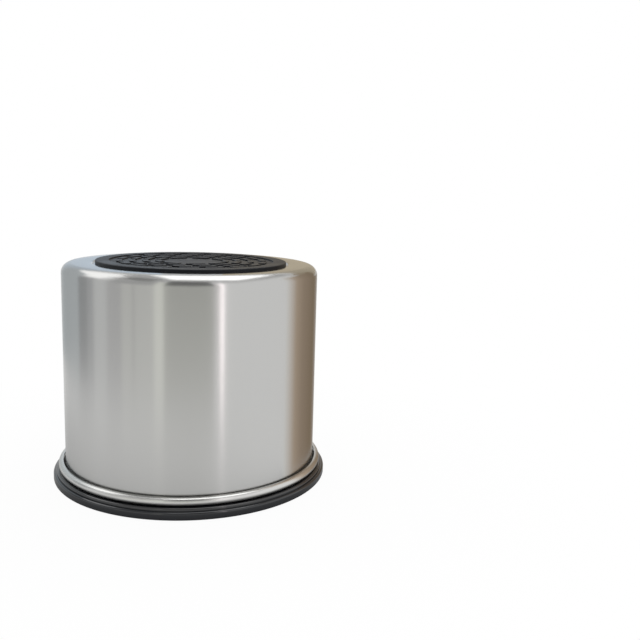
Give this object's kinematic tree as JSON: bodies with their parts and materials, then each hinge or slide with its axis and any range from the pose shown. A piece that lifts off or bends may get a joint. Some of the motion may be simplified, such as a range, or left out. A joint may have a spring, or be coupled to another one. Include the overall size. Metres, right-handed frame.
{
  "type": "coffee canister",
  "caption": "Steel coffee canister standing on its plug-in outer lid, with a rolled rim, rubber base pad and a sliding inner lid whose folding handle works a vent valve.",
  "frame": {"origin": "centre of the outer lid's outer face, on the surface that the canister stands on", "axes": "+Z is the can's axis, from the outer lid up to the base pad, because the canister stands upside down as pictured; the folded handle points to -Y and its axle lies along X; turn the part half a turn about X for its upright pose in use"},
  "size_m": [0.1262, 0.1262, 0.0995],
  "materials": {
    "can_steel": "satin stainless steel, fine lines round the body",
    "pad_rubber": "matt moulded rubber",
    "adhesive_film": "thin double-sided adhesive foam",
    "lid_plastic": "glossy black moulded plastic",
    "seal_rubber": "smooth black rubber",
    "pan_plastic": "fine-textured black moulded plastic",
    "gasket_silicone": "translucent pale silicone",
    "handle_plastic": "satin black moulded plastic",
    "small_steel": "bright drawn stainless wire and rod",
    "cam_plastic": "natural acetal",
    "plunger_plastic": "moulded acetal",
    "valve_silicone": "soft grey silicone"
  },
  "bodies": {
    "outer_lid": {"outer_lid": "lid_plastic", "lid_seal": "seal_rubber"},
    "canister": {"canister_shell": "can_steel", "base_pad": "pad_rubber", "pad_adhesive": "adhesive_film"},
    "inner_lid": {"inner_lid_pan": "pan_plastic", "inner_lid_gasket": "gasket_silicone", "valve_spring": "small_steel"},
    "handle": {"handle_bail": "handle_plastic", "cross_axle": "small_steel", "valve_cam": "cam_plastic"},
    "valve": {"valve_plunger": "plunger_plastic", "valve_disc": "valve_silicone", "stem_clip": "small_steel"}
  },
  "joints": [
    {"name": "canister_lift", "type": "slide", "parent": "outer_lid", "child": "canister", "axis": [0, 0, 1], "range_m": [0, 0.06]},
    {"name": "inner_lid_slide", "type": "slide", "parent": "canister", "child": "inner_lid", "axis": [0, 0, 1], "range_m": [0, 0.042]},
    {"name": "handle_fold", "type": "hinge", "parent": "inner_lid", "child": "handle", "pos_m": [0, 0, 0.034], "axis": [1, 0, 0], "range_deg": [0, 90]},
    {"name": "valve_lift", "type": "slide", "parent": "inner_lid", "child": "valve", "axis": [0, 0, -1], "range_m": [0, 0.002], "deforming": ["valve_spring"]}
  ],
  "couplings": [
    {"joint": "valve_lift", "follows": "handle_fold", "m_per_rad": 0.0012732}
  ]
}
